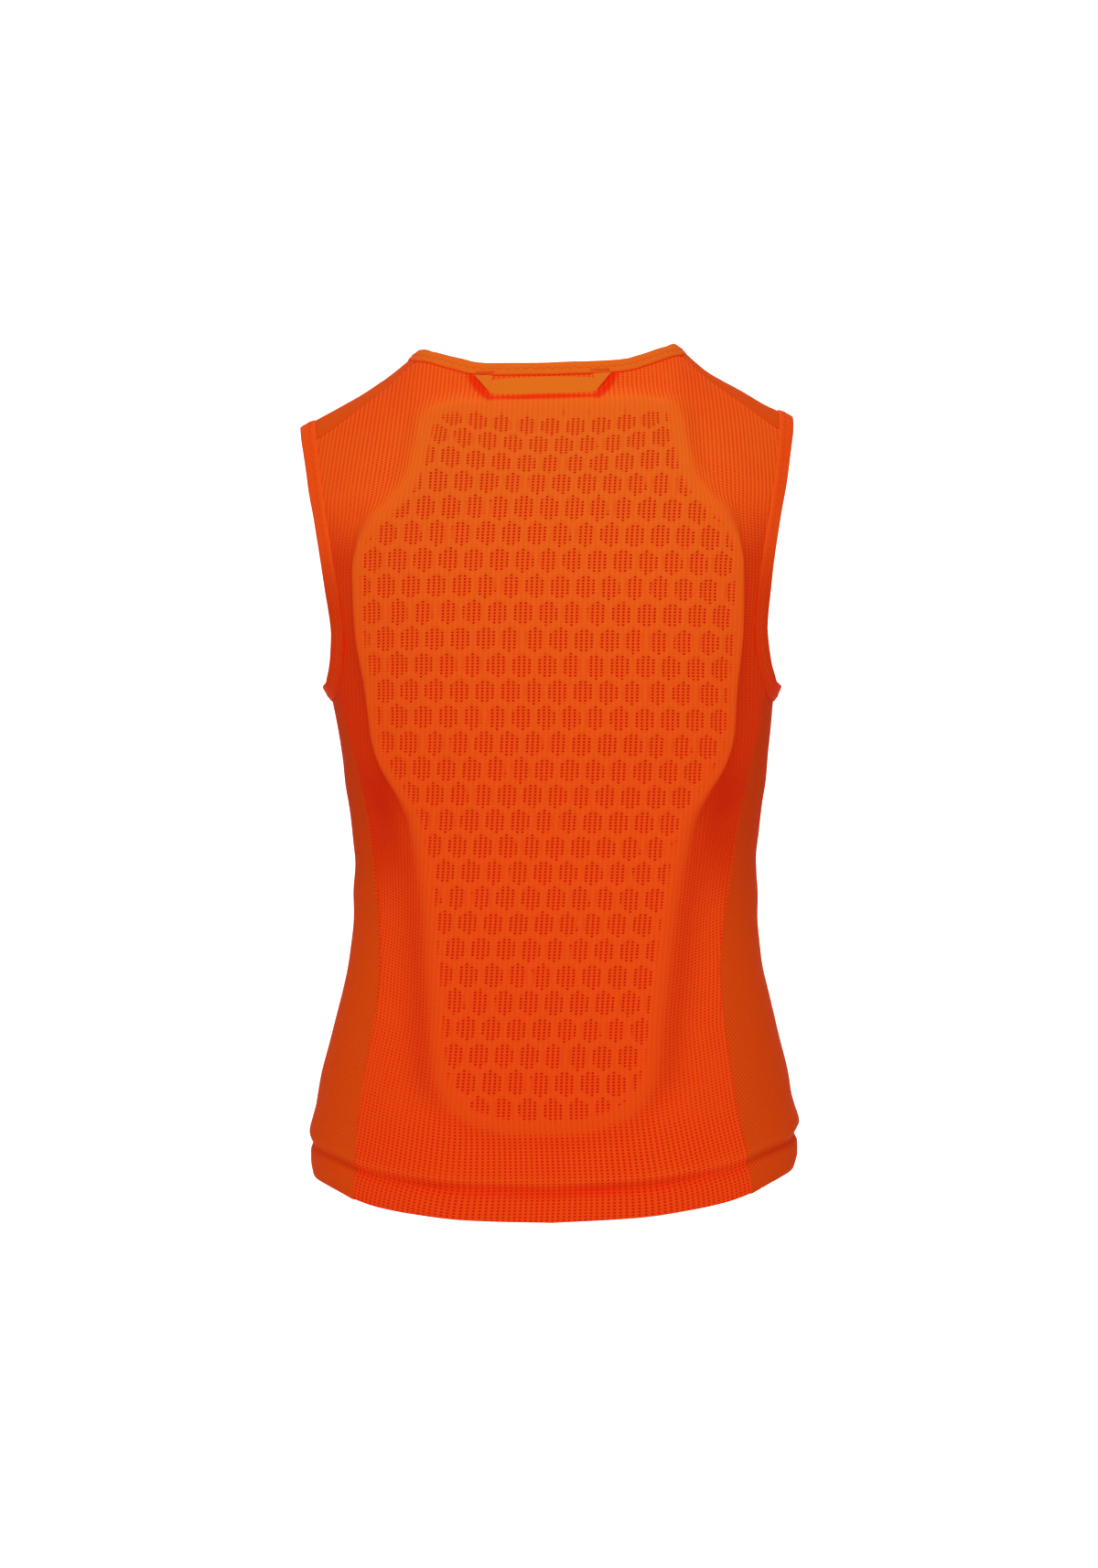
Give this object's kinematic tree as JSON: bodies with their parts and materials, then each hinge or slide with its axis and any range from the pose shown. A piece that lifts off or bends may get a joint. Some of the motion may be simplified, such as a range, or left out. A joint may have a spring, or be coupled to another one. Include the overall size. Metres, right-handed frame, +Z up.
{
  "type": "cycling vest with back protector",
  "caption": "Sleeveless zip-front cycling vest in open mesh, filled out and hollow, with a foam back protector under the cloth.",
  "frame": {"origin": "midway between the two neck points, at the level where the shoulders carry the vest", "axes": "+Z up, -Y out of the back (the pictured side), +Y out of the zipped front, +X to the picture's right, which is the wearer's right"},
  "size_m": [0.3541, 0.2338, 0.6109],
  "materials": {
    "mesh": "matt open mesh, fluorescent orange",
    "side_mesh": "matt fine mesh, darker orange",
    "yoke_knit": "matt plain knit, orange",
    "binding": "soft elastic binding with zigzag stitching",
    "loop_tape": "flat woven tape",
    "foam": "soft perforated foam",
    "zip_coil": "nylon coil on tape",
    "zip_metal": "coated die cast, orange"
  },
  "bodies": {
    "vest": {"back_panel": "mesh", "back_protector": "foam", "shoulder_yoke_left": "yoke_knit", "shoulder_yoke_right": "yoke_knit", "side_panel_left": "side_mesh", "side_panel_right": "side_mesh", "front_left": "mesh", "front_right": "mesh", "neck_binding": "binding", "armhole_binding_left": "binding", "armhole_binding_right": "binding", "hanger_loop": "loop_tape", "zip_tape": "zip_coil", "zip_slider": "zip_metal"},
    "pull": {"zip_pull": "zip_metal"}
  },
  "joints": [
    {"name": "zip_pull_hinge", "type": "hinge", "parent": "vest", "child": "pull", "pos_m": [-0.00491, 0.09024, -0.08549], "axis": [1, 0, 0], "range_deg": [0, 150]}
  ]
}
